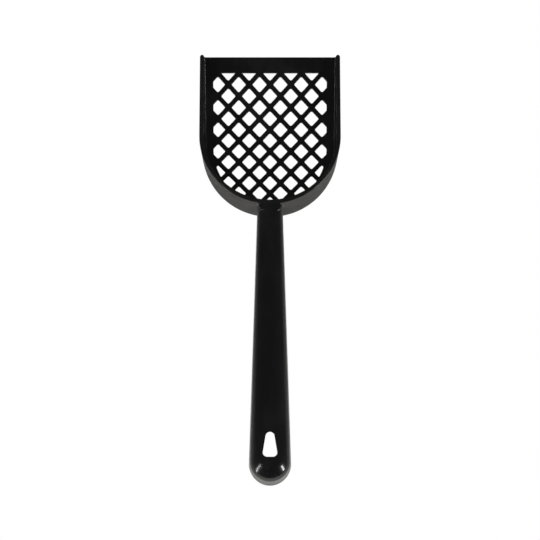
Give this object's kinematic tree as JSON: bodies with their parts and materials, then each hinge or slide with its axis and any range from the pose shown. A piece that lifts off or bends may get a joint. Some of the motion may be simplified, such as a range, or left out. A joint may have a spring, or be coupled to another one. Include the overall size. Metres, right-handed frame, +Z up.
{
  "type": "sifting scoop",
  "caption": "U-shaped hand scoop with an open front, a curved lattice floor for sifting, and a long tapered hollow-backed handle with a wedge-shaped hanging hole.",
  "frame": {"origin": "centre of the bounding box in X and Y, at the level of the surface that the scoop lies on", "axes": "+Y along the scoop from the handle's tip towards the scooping edge, +Z up off the table, +X to the scoop's right; the scoop lies as it rests, on the heel of its tray and the tip of its handle, so the rim's plane is tipped about 6 degrees up towards +Y"},
  "size_m": [0.1, 0.3024, 0.052],
  "materials": {
    "black_polypropylene": "semi-gloss injection-moulded black polypropylene, smooth, with light handling scuffs"
  },
  "bodies": {
    "root": {"back_wall": "black_polypropylene", "front_lip": "black_polypropylene", "grip_rib_1": "black_polypropylene", "grip_rib_2": "black_polypropylene", "grip_rib_3": "black_polypropylene", "grip_rib_4": "black_polypropylene", "grip_rib_5": "black_polypropylene", "handle_grip": "black_polypropylene", "handle_root": "black_polypropylene", "hanging_end": "black_polypropylene", "lattice_floor": "black_polypropylene", "left_side_wall": "black_polypropylene", "right_side_wall": "black_polypropylene"}
  },
  "joints": []
}
